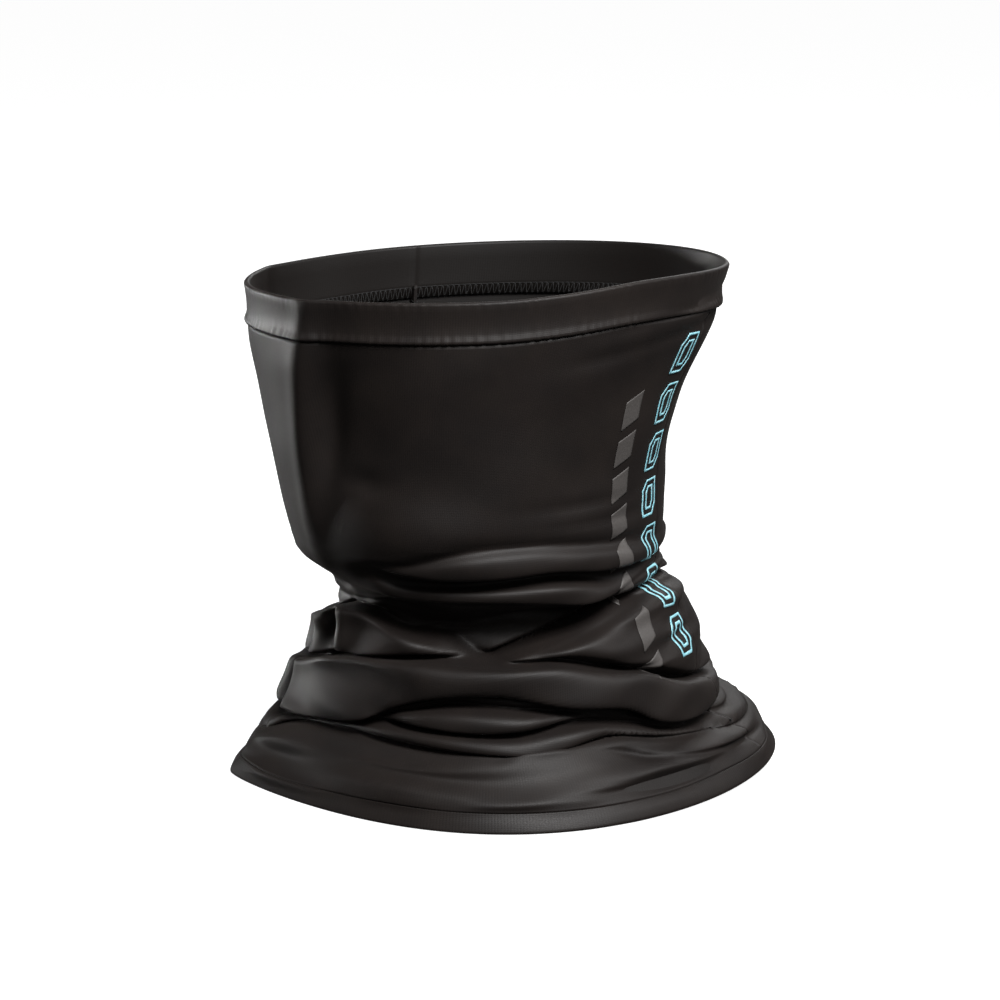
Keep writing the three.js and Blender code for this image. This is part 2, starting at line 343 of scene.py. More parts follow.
@dataclass(frozen=True)
class Drape:
    """The worn shape: the form under the cloth, its folds and its swellings."""

    stations: tuple[Station, ...] = (
        Station(0, 123, 123, 103, 0.7),
        Station(8, 119, 119, 98.5, 0.7),
        Station(15, 114, 114, 94, 0.7),
        Station(24, 102, 99, 84, 0.7),
        Station(33, 92, 90, 76, 0.65),
        Station(46, 83, 83, 69, 0.6),
        Station(56, 79, 81, 64, 0.5),
        Station(64, 76, 77, 61, 0.4),
        Station(72, 74, 73.5, 57, 0.35),
        Station(80, 74, 72, 56, 0.3),
        Station(86, 76.5, 71.5, 58, 0.2),
        Station(90, 79, 71, 60, 0.15),
        Station(95, 87, 71, 62, 0.05),
        Station(100, 91, 71, 63.5, 0.0),
        Station(110, 94.5, 70, 64.5, 0.0),
        Station(130, 99, 70, 65, 0.0),
        Station(162, 105, 76, 68, 0.0),
        Station(200, 111, 93, 73, 0.0),
        Station(218, 112, 97, 74, 0.0),
    )
    folds: tuple[Fold, ...] = (
        # the broad collar roll
        Fold(
            COLLAR_TOP,
            COLLAR_BOTTOM,
            ALL_ROUND,
            push=11.0, rise=4.5, drop=8.5, tuck=4.0, upper_edge=1.3, lower_edge=1.2,
        ),
        # a thin tube of cloth under it, on the left side and nape
        Fold(
            moved(COLLAR_BOTTOM, -2.2),
            TUBE_BOTTOM,
            (
                (38, 0), (50, 0.7), (60, 1), (95, 1), (110, 0.8), (122, 0), (160, 0), (-160, 0.6),
                (-110, 1), (-80, 0),
            ),
            push=7.5, rise=1.0, drop=4.0, tuck=3.0, upper_edge=1.1, lower_edge=1.1,
        ),
        # the strip above the skirt
        Fold(
            TUBE_BOTTOM,
            SKIRT_TOP,
            ALL_ROUND,
            push=6.0, rise=0.5, drop=5.0, tuck=3.0, upper_edge=1.2, lower_edge=1.0,
        ),
        # the lobe below the chin, from its loop back to the deep hollow
        Fold(
            (
                (-40, 66), (-14, 67), (3, 74), (18, 80), (32, 78.5), (44, 73.5), (54, 69), (62, 65),
                (70, 61),
            ),
            moved(COLLAR_TOP, -2.0),
            ((-60, 0), (-30, 1), (52, 1), (61, 0.7), (70, 0)),
            push=9.5, rise=3.4, drop=2.0, tuck=4.0, upper_edge=1.0, lower_edge=2.0,
        ),
        # the diagonal pleat
        Fold(
            PLEAT_TOP,
            moved(PLEAT_TOP, -3.2),
            ((66, 0), (74, 0.7), (82, 1), (140, 1), (165, 0.8), (-160, 0.4), (-140, 0)),
            push=10.0, rise=3.0, drop=3.0, tuck=4.0, upper_edge=0.9, lower_edge=0.9,
        ),
        # the deep hollow between the ledge above, the lobe and the pleat
        Fold(
            moved(HOLLOW_TOP, -3.0),
            (
                (36, 76), (44, 72), (54, 68.5), (63, 64), (69, 60.5), (74, 58.6), (78, 61), (84, 65),
                (96, 69.5), (110, 74), (128, 80),
            ),
            ((34, 0), (48, 0.7), (60, 1), (104, 1), (126, 0.9), (138, 0)),
            push=-14.0, upper_edge=3.0, lower_edge=0.9,
        ),
        # the cloth that comes up behind it
        Fold(
            moved(PLEAT_TOP, -4.8),
            moved(COLLAR_TOP, -1.0),
            ((78, 0), (92, 0.8), (115, 1), (170, 1), (-150, 1), (-90, 0.8), (-60, 0)),
            push=7.0, rise=0.5, drop=2.0, upper_edge=1.2, lower_edge=2.0,
        ),
        # the ledge over the deep hollow of the neck
        Fold(
            moved(UPPER_CREASE, -2.5),
            HOLLOW_TOP,
            (
                (30, 0), (46, 0.7), (64, 1), (105, 1), (122, 0.6), (150, 0.5), (-150, 0.9), (-100, 1),
                (-50, 0.6), (-20, 0),
            ),
            push=5.0, rise=0.6, drop=4.5, tuck=2.0, upper_edge=2.4, lower_edge=1.4,
        ),
        # the soft roll between the two creases under the jaw
        Fold(
            moved(JAW_CREASE, -2.0),
            moved(UPPER_CREASE, 2.0),
            (
                (40, 0), (58, 0.8), (80, 1), (110, 1), (135, 0.7), (170, 0.5), (-150, 0.8), (-100, 1),
                (-50, 0),
            ),
            push=2.6, drop=3.2, upper_edge=3.0, lower_edge=1.4,
        ),
        # the two creases themselves
        Fold(
            moved(JAW_CREASE, 2.2),
            moved(JAW_CREASE, -1.6),
            (
                (42, 0), (60, 0.8), (85, 1), (120, 0.8), (150, 0.5), (172, 0), (-150, 0.6), (-100, 0.8),
                (-60, 0),
            ),
            push=-4.6, upper_edge=3.0, lower_edge=2.0,
        ),
        Fold(
            moved(UPPER_CREASE, 3.0),
            moved(UPPER_CREASE, -2.4),
            (
                (32, 0), (46, 0.8), (60, 1), (104, 1), (120, 0.6), (138, 0.3), (-150, 0.7), (-100, 1),
                (-60, 0),
            ),
            push=-6.2, upper_edge=2.8, lower_edge=1.8,
        ),
        # tucks at the back of the left side, under the collar roll
        Fold(
            ((108, 27), (111, 25.5), (116, 20), (127, 17.5), (156, 13.5), (170, 13)),
            ((108, 25), (111, 23.5), (116, 18), (127, 15.2), (156, 11.2), (170, 11)),
            ((106, 0), (114, 1), (150, 1), (168, 0)),
            push=-5.0, drop=1.0, upper_edge=0.9, lower_edge=1.4,
        ),
        Fold(
            ((88, 14), (97, 13), (108, 11.8), (125, 10.8), (140, 8)),
            ((88, 12.4), (97, 11.4), (108, 10.2), (125, 9.2), (140, 6.4)),
            ((88, 0), (102, 1), (128, 1), (142, 0)),
            push=-2.4, upper_edge=1.2, lower_edge=1.4,
        ),
        # drag lines that run into the back of the top rim
        Fold(
            ((100, 196), (120, 200), (150, 206), (178, 211), (-165, 208), (-150, 204)),
            ((100, 195), (120, 198.5), (150, 204), (178, 209), (-165, 206), (-150, 202)),
            ((105, 0), (130, 0.5), (148, 1), (164, 0.6), (178, 0.15), (-170, 0)),
            push=-3.2, upper_edge=1.5, lower_edge=1.5,
        ),
        Fold(
            ((90, 186), (120, 190), (150, 196), (178, 202), (-165, 199), (-150, 195)),
            ((90, 185), (120, 188), (150, 194), (178, 200), (-165, 197), (-150, 193)),
            ((98, 0), (125, 0.6), (148, 1), (164, 0.6), (178, 0.15), (-170, 0)),
            push=-2.8, upper_edge=1.8, lower_edge=1.8,
        ),
    )
    swells: tuple[Swell, ...] = (
        Swell(30, 165, 2.8, 3.0, 46, 0.1),  # the corner of the cloth beside the nose
        Swell(27, 165, 2.6, 8.0, 46, 0.1),
        Swell(38.5, 166, -4.5, 4.0, 22, 0.1),  # the hollow behind it
        Swell(47, 163, -4.0, 9.0, 20, 0.1),
        Swell(49, 140, -1.4, 5.0, 3.5),
        Swell(62, 119, 3.4, 18.0, 11),  # the jaw
        Swell(12, 88, -5.0, 9.0, 4.5),  # the pocket under the chin
        Swell(13, 68, -10.0, 4.5, 5.0),  # the eye of the loop under it
        Swell(23, 69, 3.0, 2.6, 8.0),
        Swell(2, 44, 1.0, 2.5, 10.0),  # the upright end of the collar roll
        Swell(-4, 44, -5.0, 2.4, 12.0),
        Swell(-12, 40, 3.0, 5.0, 11.0),
        Swell(120, 55, -6.0, 5.0, 1.8),  # small openings where folds meet
        Swell(146, 25, -7.0, 5.0, 2.5),
        Swell(-33, 165, 2.6, 3.2, 42),
        Swell(-30, 165, 2.2, 8.0, 42),
        Swell(-54, 172, -5.5, 10.5, 28),
        Swell(-62, 119, 3.0, 18.0, 11),
        Swell(112, 188, -0.9, 6.0, 3),
        Swell(116, 127, -1.2, 12.0, 2.2),
        Swell(124, 119, -1.2, 14.0, 2.2),
        Swell(45, 17, -2.0, 24.0, 2.5),  # shallow troughs in the skirt
        Swell(118, 10, -2.2, 17.0, 2.5),
        Swell(-110, 13, -2.2, 26.0, 3.0),
        Swell(-30, 12, -1.6, 20.0, 2.5),
        Swell(170, 8, -1.8, 10.0, 2.5),
    )
    rim_lift: Path2 = ((0, 0), (85, 0), (100, 1.3), (117, 3.6), (132, 3.2), (150, 1.6), (172, 0))
    hem_lift: Path2 = (
        (-30, 0), (0, 0), (90, 0), (125, 1), (160, 4.5), (180, 3), (-150, 0.5), (-100, 2), (-60, 1),
    )
    rim_tilt: float = 0.022  # how fast the top rim rises towards the back
    # Where small folds and long waves lie: the start, how it rises, the end, how it falls.
    bunched: tuple[float, float, float, float] = (0.0, 10.0, 118.0, 40.0)
    taut: tuple[float, float, float, float] = (105.0, 30.0, 206.0, 20.0)
    bunched_push: tuple[Ripple, ...] = (
        Ripple(0.7, 11, (2, 9), (9.0, 22.0)),
        Ripple(0.2, 14, (1, 5), (5.0, 10.0)),
    )
    bunched_lift: Ripple = Ripple(0.5, 12, (3, 8), (14.0, 30.0))
    taut_push: Ripple = Ripple(0.32, 13, (3, 9), (34.0, 110.0))
    floor_grip: float = 8.0  # the height where folds are lifted in full
    hem_softness: float = 12.0
    hem_fade: float = 25.0
    rim_lift_from: float = 140.0
    rim_lift_over: float = 60.0

    def form(self, angles: Array, heights: Array) -> tuple[Array, Array]:
        """Return points on the form without folds, and the level outward direction at each.

        The section at each height is an ellipse whose centre moves with the front and back reach. A pinch
        narrows it towards its front, by a share that grows as the sine of the angle falls, which leaves the
        crease of a tube that has lain flat.

        Args:
            angles: Angles in degrees.
            heights: Heights in millimetres, shaped as angles.

        Returns:
            Points and unit directions, each with a last axis of three.
        """
        level = np.array([s.height for s in self.stations], float)
        reach = {
            key: monotone_curve(heights, level, np.array([getattr(s, key) for s in self.stations], float))
            for key in ("front", "back", "side", "pinch")
        }
        length = (reach["front"] + reach["back"]) / 2.0
        middle = (reach["back"] - reach["front"]) / 2.0
        turn = np.radians(angles)
        near = 0.5 + 0.5 * np.cos(turn)
        narrow = 1.0 - reach["pinch"] * near * (1.0 - np.abs(np.sin(turn)))
        sine, cosine = np.sin(turn), np.cos(turn)
        points = np.stack([reach["side"] * sine * narrow, middle - length * cosine, heights], -1)
        slope = 1.0 - reach["pinch"] * near * (1.0 - 2.0 * np.abs(sine))
        outward = np.stack([sine * length, -cosine * reach["side"] * slope, np.zeros_like(turn)], -1)
        return points, outward / np.linalg.norm(outward, axis=-1, keepdims=True)

    def points(self, angles: Array, heights: Array) -> Array:
        """Return the draped cloth: the form pushed out and lifted by every fold, swelling and ripple.

        The hem's own lift fades as an exponential of the height. The rim's own lift comes in with a smooth
        step. The rim tilts in proportion to height and to the place from face to nape.

        Args:
            angles: Angles in degrees.
            heights: Heights in millimetres, shaped as angles.

        Returns:
            Points with a last axis of three.
        """
        points, outward = self.form(angles, heights)
        push = np.zeros_like(heights)
        lift = np.zeros_like(heights)
        for fold in self.folds:
            out, up = fold.offsets(angles, heights)
            push += out
            lift += up
        for swell in self.swells:
            push += swell.offset(angles, heights)
        bunched, taut = plateau(heights, *self.bunched), plateau(heights, *self.taut)
        for ripple in self.bunched_push:
            push += ripple.offset(bunched, angles, heights)
        lift += self.bunched_lift.offset(bunched, angles, heights)
        push += self.taut_push.offset(taut, angles, heights)
        points = points + outward * push[..., None]
        hem = round_curve(angles, self.hem_lift, self.hem_softness) * np.exp(-heights / self.hem_fade)
        near_rim = smooth_step((heights - self.rim_lift_from) / self.rim_lift_over)
        lift = lift * smooth_step(heights / self.floor_grip) + hem
        lift += round_curve(angles, self.rim_lift) * near_rim
        points[..., 2] = np.maximum(points[..., 2] + lift, 0.0)
        points[..., 2] += self.rim_tilt * points[..., 1] * heights / self.stations[-1].height
        return points


class ClothSurface:
    """The finished cloth as a grid of points that closes round the tube, read at any angle and height."""

    def __init__(self, heights: Array, points: Array, flat_width: float) -> None:
        """Keep the grid and work out its normals and its lengths along the cloth.

        Args:
            heights: The rows' heights, rising.
            points: Points shaped rows, columns, three, with columns evenly spaced from angle 0.
            flat_width: The cloth's girth before it is stretched.
        """
        self.heights = heights
        self.points = points
        self.flat_width = flat_width
        around = np.roll(points, -1, axis=1) - np.roll(points, 1, axis=1)
        up = np.gradient(points, axis=0)
        normal = np.cross(around, up)
        self.normals = normal / np.linalg.norm(normal, axis=-1, keepdims=True)
        self.girth_step = np.linalg.norm(around, axis=-1) / 2.0 * points.shape[1] / 360.0
        steps = np.linalg.norm(np.diff(points, axis=0), axis=-1).mean(axis=1)
        self.flat_rows = np.concatenate(([0.0], np.cumsum(steps)))

    @property
    def flat_length(self) -> float:
        """The cloth's length from rim to rim, along its folds."""
        return float(self.flat_rows[-1])

    def _read(self, grid: Array, angles: Array, heights: Array) -> Array:
        """Return one of the surface's grids at other places, carried on by half a row past its ends."""
        return read_grid(self.heights, grid, angles, heights, 0.5)

    def at(
        self, angles: Array, heights: Array, depth: Array | float = 0.0, arc: Array | float = 0.0
    ) -> Array:
        """Return points on, over or under the cloth: a point of the surface plus depth times its normal.

        Args:
            angles: Angles in degrees.
            heights: Heights in millimetres.
            depth: How far out of the cloth.
            arc: How far along the cloth from the angle, towards larger angles.

        Returns:
            Points with a last axis of three.
        """
        angles, heights, depth, arc = np.broadcast_arrays(*map(np.asarray, (angles, heights, depth, arc)))
        turned = angles + arc / self._read(self.girth_step, angles, heights)
        base = self._read(self.points, turned, heights)
        normal = self._read(self.normals, turned, heights)
        return base + normal / np.linalg.norm(normal, axis=-1, keepdims=True) * depth[..., None]

    def flat(self, angles: Array, heights: Array) -> Array:
        """Return places on the flat cloth: across by the share of a turn, along by the length up the folds.

        Args:
            angles: Angles in degrees.
            heights: Heights in millimetres.

        Returns:
            Places in millimetres, across and then along, with a last axis of two.
        """
        angles, heights = np.broadcast_arrays(angles, heights)
        along = np.interp(heights, self.heights, self.flat_rows)
        return np.stack([angles / 360.0 * self.flat_width, along], -1)


# ---- meshes ----


def make_object(
    name: str, points: Array, quads: Array, flat: Array | None = None, reverse: Array | None = None
) -> bpy.types.Object:
    """Make a mesh object at the origin from points in millimetres.

    Args:
        name: The object's name.
        points: Points shaped count, three.
        quads: Corner indices shaped count, four.
        flat: A UV place for each point, in millimetres on the flat cloth, or None.
        reverse: 1 for each point on the knit's matt reverse side and 0 on its face, or None; the reverse
            side is drawn darker, as painted shade inside the tube.

    Returns:
        The linked object, shaded smooth.
    """
    mesh = bpy.data.meshes.new(name)
    mesh.vertices.add(len(points))
    mesh.vertices.foreach_set("co", (points * METRE).astype(np.float32).ravel())
    mesh.loops.add(quads.size)
    mesh.loops.foreach_set("vertex_index", quads.astype(np.int32).ravel())
    mesh.polygons.add(len(quads))
    mesh.polygons.foreach_set("loop_start", np.arange(0, quads.size, 4, dtype=np.int32))
    mesh.polygons.foreach_set("use_smooth", np.ones(len(quads), bool))
    mesh.update(calc_edges=True)
    if flat is not None:
        layer = mesh.uv_layers.new(name="FlatCloth")
        layer.data.foreach_set("uv", (flat[quads.ravel()] * METRE).astype(np.float32).ravel())
    if reverse is not None:
        side = mesh.attributes.new("reverse_side_shade", "FLOAT", "POINT")
        side.data.foreach_set("value", reverse.astype(np.float32))
    mesh.validate()
    made = bpy.data.objects.new(name, mesh)
    bpy.context.scene.collection.objects.link(made)
    return made


def grid_quads(rows: int, columns: int, wraps_rows: bool = False, wraps_columns: bool = False) -> Array:
    """Return the quads of a grid of points numbered row by row, facing along columns cross rows.

    Args:
        rows: How many rows.
        columns: How many columns.
        wraps_rows: Whether the last row joins the first.
        wraps_columns: Whether the last column joins the first.

    Returns:
        Corner indices shaped count, four.
    """
    i = np.arange(rows if wraps_rows else rows - 1)[:, None]
    j = np.arange(columns if wraps_columns else columns - 1)[None, :]
    up, right = (i + 1) % rows, (j + 1) % columns
    corners = [i * columns + j, i * columns + right, up * columns + right, up * columns + j]
    return np.stack(np.broadcast_arrays(*corners), -1).reshape(-1, 4)


def shell_quads(rows: int, columns: int) -> Array:
    """Return the quads of a closed shell: an outer layer, an inner layer and four edges between them.

    Args:
        rows: How many rows each layer has.
        columns: How many columns each layer has.

    Returns:
        Corner indices shaped count, four.
    """
    outer = grid_quads(rows, columns)
    inner = outer[:, ::-1] + rows * columns
    grid = np.arange(rows * columns).reshape(rows, columns)
    sides = (grid[0], grid[-1][::-1], grid[:, 0][::-1], grid[:, -1])
    edges = []
    for front in sides:
        behind = front + rows * columns
        edges.append(np.stack([front[1:], front[:-1], behind[:-1], behind[1:]], -1))
    return np.concatenate([outer, inner, *edges])


def joined(parts: list[tuple[Array, Array]]) -> tuple[Array, Array]:
    """Return the points and quads of several parts as one mesh.

    Args:
        parts: Each part's points and quads.

    Returns:
        All the points, and all the quads with each part's corners counted on from the last part's.
    """
    starts = np.cumsum([0] + [len(points) for points, _ in parts])
    quads = [quads + start for (_, quads), start in zip(parts, starts)]
    return np.concatenate([points for points, _ in parts]), np.concatenate(quads)


def tube(centres: Array, radius: float, sides: int = 6, closed: bool = False) -> tuple[Array, Array]:
    """Return points and quads of a round tube along a line.

    Each section lies across the line's direction, on an axis taken from the world's up direction or, where
    the line runs upwards, from the world's X direction.

    Args:
        centres: The line's points.
        radius: The tube's radius.
        sides: Corners in a section.
        closed: Whether the line joins its own start.

    Returns:
        Points shaped count, three, and quads shaped count, four.
    """
    if closed:
        ahead = np.roll(centres, -1, axis=0) - np.roll(centres, 1, axis=0)
    else:
        ahead = np.gradient(centres, axis=0)
    ahead /= np.linalg.norm(ahead, axis=1, keepdims=True) + 1e-12
    steep = np.abs(ahead[:, 2:3]) > 0.9
    hint = np.where(steep, np.array([[1.0, 0.0, 0.0]]), np.array([[0.0, 0.0, 1.0]]))
    across = np.cross(ahead, hint)
    across /= np.linalg.norm(across, axis=1, keepdims=True)
    upward = np.cross(across, ahead)
    turn = np.linspace(0.0, 2.0 * math.pi, sides, endpoint=False)
    ring = across[:, None] * np.cos(turn)[None, :, None] + upward[:, None] * np.sin(turn)[None, :, None]
    points = (centres[:, None] + radius * ring).reshape(-1, 3)
    quads = grid_quads(len(centres), sides, wraps_rows=closed, wraps_columns=True)
    return points, quads[:, ::-1]


# ---- the settled cloth ----


# The knit's settings in the cloth simulation.
KNIT_IN_MOTION = {
    "quality": 5,
    "mass": 0.15,
    "tension_stiffness": 18.0,
    "compression_stiffness": 18.0,
    "shear_stiffness": 6.0,
    "bending_stiffness": 12.0,
    "air_damping": 2.0,
    "pin_stiffness": 1.0,
}


@dataclass(frozen=True)
class Settling:
    """A short cloth simulation that lets the bunched part of the tube sag and buckle into its folds.

    The cloth is cut longer than its designed shape, so it has to buckle. A soft pull towards the designed
    shape keeps the folds where they were laid, and the taut part above and the hem below are held fast.

    Attributes:
        rows: Rows of the simulated grid.
        columns: Columns of the simulated grid.
        up_to: How high the simulated part reaches.
        longer: How much longer it is cut.
        frames: How many frames it moves for.
        hold: How strongly the free part is held, from 0 to 1.
        ironing: How many times the result is smoothed.
        clearance: How near two layers may come, in millimetres.
    """

    rows: int = 100
    columns: int = 180
    up_to: float = 124.0
    longer: float = 1.03
    frames: int = 14
    hold: float = 0.5
    ironing: int = 2
    clearance: float = 0.9

    def _held(self, heights: Array) -> Array:
        """Work out how strongly each row is held: in full near the top and the hem, and partly between.

        Args:
            heights: The rows' heights.

        Returns:
            Shares from 0 to 1.
        """
        near_top = np.clip((heights - (self.up_to - 12.0)) / 8.0, 0.0, 1.0)
        near_hem = np.clip((7.0 - heights) / 5.0, 0.0, 1.0)
        return np.clip(self.hold + (1.0 - self.hold) * (near_top + near_hem), 0.0, 1.0)

    def _add_cloth(self, sheet: bpy.types.Object, pins: str, cut: bpy.types.ShapeKey) -> None:
        """Give the sheet its cloth simulation.

        Args:
            sheet: The sheet to simulate.
            pins: The vertex group that holds it.
            cut: The shape it is cut to.
        """
        modifier = sheet.modifiers.new("settle", "CLOTH")
        for key, value in KNIT_IN_MOTION.items():
            setattr(modifier.settings, key, value)
        modifier.settings.vertex_group_mass = pins
        modifier.settings.rest_shape_key = cut
        modifier.collision_settings.use_collision = False
        modifier.collision_settings.use_self_collision = True
        modifier.collision_settings.self_distance_min = self.clearance * METRE
        modifier.point_cache.frame_end = self.frames

    def settle(self, drape: Drape) -> tuple[Array, Array]:
        """Run the simulation, and smooth how far it moved each point: a mean with its neighbours.

        Args:
            drape: The designed shape.

        Returns:
            The rows' heights, and how far each point moved, shaped rows, columns, three.
        """
        heights = np.linspace(0.0, self.up_to, self.rows)
        angles = np.arange(self.columns) * 360.0 / self.columns
        start = drape.points(*np.meshgrid(angles, heights))
        quads = grid_quads(self.rows, self.columns, wraps_columns=True)
        sheet = make_object("settling_cloth", start.reshape(-1, 3), quads)
        sheet.shape_key_add(name="laid")
        cut = sheet.shape_key_add(name="cut")
        longer = start * (1.0, 1.0, self.longer)
        cut.data.foreach_set("co", (longer * METRE).astype(np.float32).ravel())
        pins = sheet.vertex_groups.new(name="held")
        for row, share in enumerate(self._held(heights)):
            pins.add(range(row * self.columns, (row + 1) * self.columns), float(share), "REPLACE")
        self._add_cloth(sheet, pins.name, cut)
        scene = bpy.context.scene
        for frame_number in range(1, self.frames + 1):
            scene.frame_set(frame_number)
        baked = sheet.evaluated_get(bpy.context.evaluated_depsgraph_get()).to_mesh()
        places = np.empty(self.rows * self.columns * 3, np.float32)
        baked.vertices.foreach_get("co", places)
        shift = places.reshape(start.shape) / METRE - start
        bpy.data.objects.remove(sheet)
        scene.frame_set(1)
        for _ in range(self.ironing):
            shift = (np.roll(shift, 1, axis=1) + 2.0 * shift + np.roll(shift, -1, axis=1)) / 4.0
            shift[1:-1] = (shift[:-2] + 2.0 * shift[1:-1] + shift[2:]) / 4.0
        return heights, shift


@dataclass(frozen=True)
class DrapedCloth:
    """Makes the cloth surface: the designed drape, settled by a cloth simulation."""

    drape: Drape = field(default_factory=Drape)
    settling: Settling = field(default_factory=Settling)
    columns: int = 400
    bunched_rows: int = 190
    taut_rows: int = 50
    bunched_to: float = 112.0
    flat_width: float = 520.0

    def heights(self) -> Array:
        """Space the rows: close together where the cloth is bunched.

        Returns:
            The rows' heights, rising.
        """
        top = self.drape.stations[-1].height
        low = np.linspace(0.0, self.bunched_to, self.bunched_rows, endpoint=False)
        return np.concatenate([low, np.linspace(self.bunched_to, top, self.taut_rows)])

    def surface(self) -> ClothSurface:
        """Work out the finished surface: the designed drape moved as the simulation moved it.

        Returns:
            The surface.
        """
        heights = self.heights()
        angles = np.arange(self.columns) * 360.0 / self.columns
        grid_angles, grid_heights = np.meshgrid(angles, heights)
        points = self.drape.points(grid_angles, grid_heights)
        began = time.time()
        rows, shift = self.settling.settle(self.drape)
        LOG.info("settled in %.0f s, moved %.1f mm at most", time.time() - began, np.abs(shift).max())
        settled = (grid_heights <= rows[-1])[..., None]
        points += read_grid(rows, shift, grid_angles, grid_heights, 0.0) * settled
        points[..., 2] = np.maximum(points[..., 2], 0.0)
        return ClothSurface(heights, points, self.flat_width)


# ---- finishes ----


def linear(color: str) -> tuple[float, float, float, float]:
    """Turn an sRGB hex colour into linear light: a straight line near black and a power of 2.4 above.

    Args:
        color: The colour as # and six hex digits.

    Returns:
        Red, green, blue and an alpha of 1.
    """
    parts = [int(color[i : i + 2], 16) / 255.0 for i in (1, 3, 5)]
    red, green, blue = (c / 12.92 if c <= 0.04045 else ((c + 0.055) / 1.055) ** 2.4 for c in parts)
    return red, green, blue, 1.0


def add_node(
    tree: bpy.types.NodeTree, kind: str, settings: dict | None = None, **inputs: object
) -> bpy.types.Node:
    """Add a node, set its properties and its inputs, and link the inputs that are given as sockets.

    Args:
        tree: The node tree.
        kind: The node's type name.
        settings: Property values by name.
        **inputs: Values or sockets, by an input's name with _ for each space, or iN for input N.

    Returns:
        The node.
    """
    node = tree.nodes.new(kind)
    for key, value in (settings or {}).items():
        setattr(node, key, value)
    for key, value in inputs.items():
        numbered = key[0] == "i" and key[1:].isdigit()
        socket = node.inputs[int(key[1:]) if numbered else key.replace("_", " ")]
        if isinstance(value, bpy.types.NodeSocket):
            tree.links.new(value, socket)
        else:
            socket.default_value = value
    return node


def math_node(tree: bpy.types.NodeTree, operation: str, *values: object) -> bpy.types.NodeSocket:
    """Return the result of a math node on values or sockets."""
    inputs = {f"i{number}": value for number, value in enumerate(values)}
    return add_node(tree, "ShaderNodeMath", {"operation": operation}, **inputs).outputs[0]


def map_range(tree: bpy.types.NodeTree, *values: object) -> bpy.types.NodeSocket:
    """Return a value mapped from one range to another: the value, then both ends of each range."""
    inputs = {f"i{number}": value for number, value in enumerate(values)}
    return add_node(tree, "ShaderNodeMapRange", **inputs).outputs[0]


def noise(tree: bpy.types.NodeTree, place: object, scale: float, detail: float, rough: float) -> object:
    """Return the value of a noise texture at a place."""
    inputs = {"Vector": place, "Scale": scale, "Detail": detail, "Roughness": rough}
    return add_node(tree, "ShaderNodeTexNoise", **inputs).outputs["Fac"]


def mix_colors(tree: bpy.types.NodeTree, share: object, first: object, second: object) -> object:
    """Return the mix of two colours: the first at share 0 and the second at share 1."""
    return add_node(tree, "ShaderNodeMix", {"data_type": "RGBA"}, i0=share, i6=first, i7=second).outputs[2]


def bump(tree: bpy.types.NodeTree, height: object, strength: float, depth: float) -> object:
    """Return the normal of a height that is depth millimetres deep."""
    inputs = {"Strength": strength, "Distance": depth * METRE, "Height": height}
    return add_node(tree, "ShaderNodeBump", **inputs).outputs[0]


def shade(tree: bpy.types.NodeTree, **inputs: object) -> None:
    """Make a Principled shader with these inputs the material's surface."""
    shader = add_node(tree, "ShaderNodeBsdfPrincipled", **inputs)
    add_node(tree, "ShaderNodeOutputMaterial", Surface=shader.outputs[0])


def flat_place(tree: bpy.types.NodeTree) -> bpy.types.NodeSocket:
    """Return the place on the flat cloth."""
    return add_node(tree, "ShaderNodeUVMap", {"uv_map": "FlatCloth"}).outputs[0]


def empty_material(name: str) -> tuple[bpy.types.Material, bpy.types.NodeTree]:
    """Make a material without nodes.

    Args:
        name: The material's name.

    Returns:
        The material and its node tree.
    """
    material = bpy.data.materials.new(name)
    material.use_nodes = True
    material.node_tree.nodes.clear()
    return material, material.node_tree


